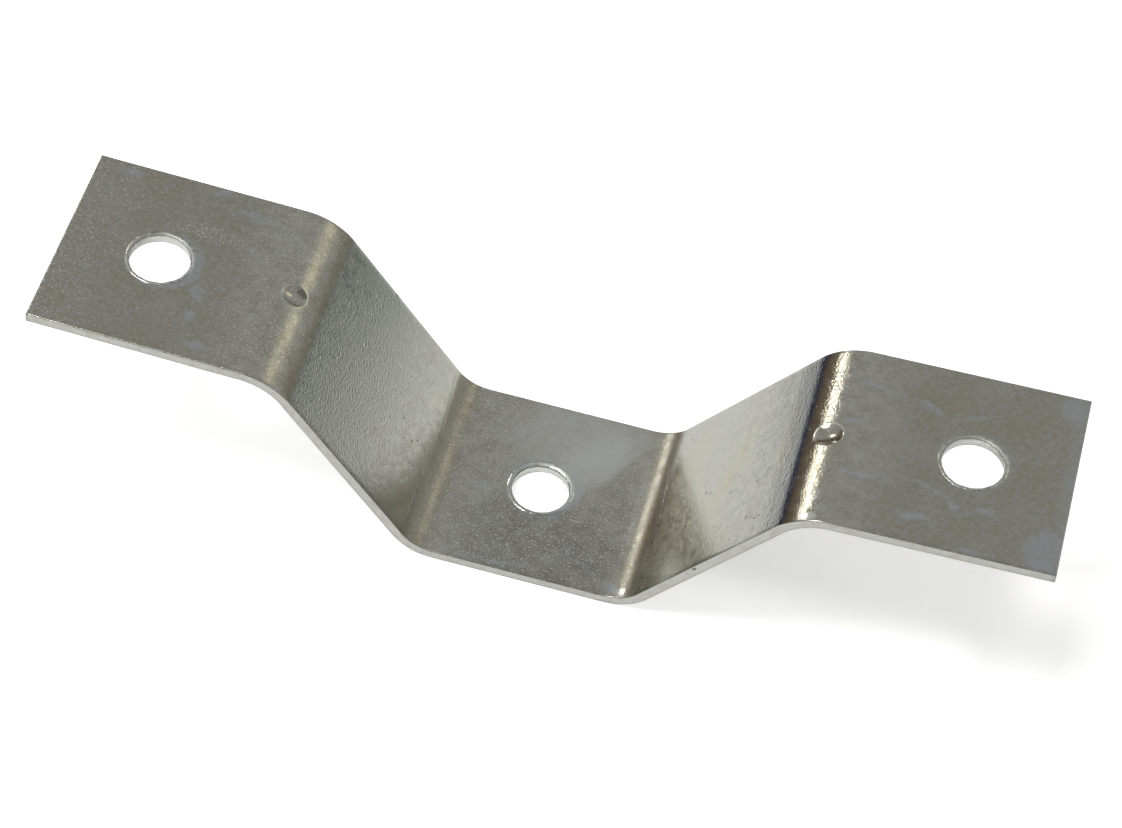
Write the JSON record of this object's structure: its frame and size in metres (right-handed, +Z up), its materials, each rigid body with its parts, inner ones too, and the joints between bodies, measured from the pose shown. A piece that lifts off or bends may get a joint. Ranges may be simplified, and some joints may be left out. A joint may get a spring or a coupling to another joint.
{
  "type": "folded strap bracket",
  "caption": "Folded steel strap bracket: a low central pan, sloping legs and raised end flanges, each flat punched with a round bolt hole.",
  "frame": {"origin": "middle of the pan's underside, which is the lowest face", "axes": "+X along the strap from flange to flange, +Y across its width, +Z up from the pan towards the flanges"},
  "size_m": [0.139, 0.03, 0.0309],
  "materials": {
    "zinc_plate": "bright zinc plate on mild steel, handled and lightly stained"
  },
  "bodies": {
    "root": {"bracket": "zinc_plate"}
  },
  "joints": []
}
